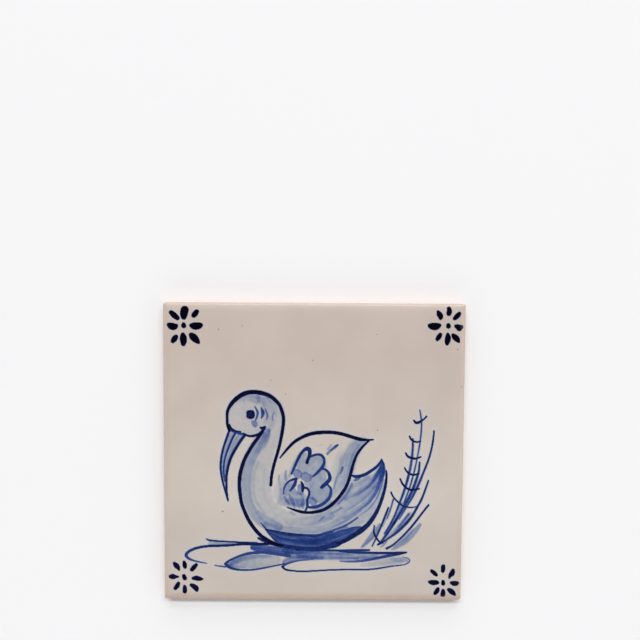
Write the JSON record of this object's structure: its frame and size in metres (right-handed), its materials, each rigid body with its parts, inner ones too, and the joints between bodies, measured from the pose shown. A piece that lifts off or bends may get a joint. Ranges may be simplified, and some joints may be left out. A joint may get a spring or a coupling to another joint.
{
  "type": "azulejo tile",
  "caption": "Square glazed earthenware wall tile with softly rolled face edges, a keyed back and a hand-brushed blue water bird with reeds and a small flower in each corner.",
  "frame": {"origin": "centre of the back face, on the floor that the tile lies on", "axes": "+Z out of the glazed face, +Y towards the top of the painted picture, +X towards its right"},
  "size_m": [0.14, 0.14, 0.008],
  "materials": {
    "glazed_earthenware": "glossy off-white glaze with cobalt-blue brush painting on the face, bare fired clay on the sides and back"
  },
  "bodies": {
    "root": {"tile": "glazed_earthenware"}
  },
  "joints": []
}
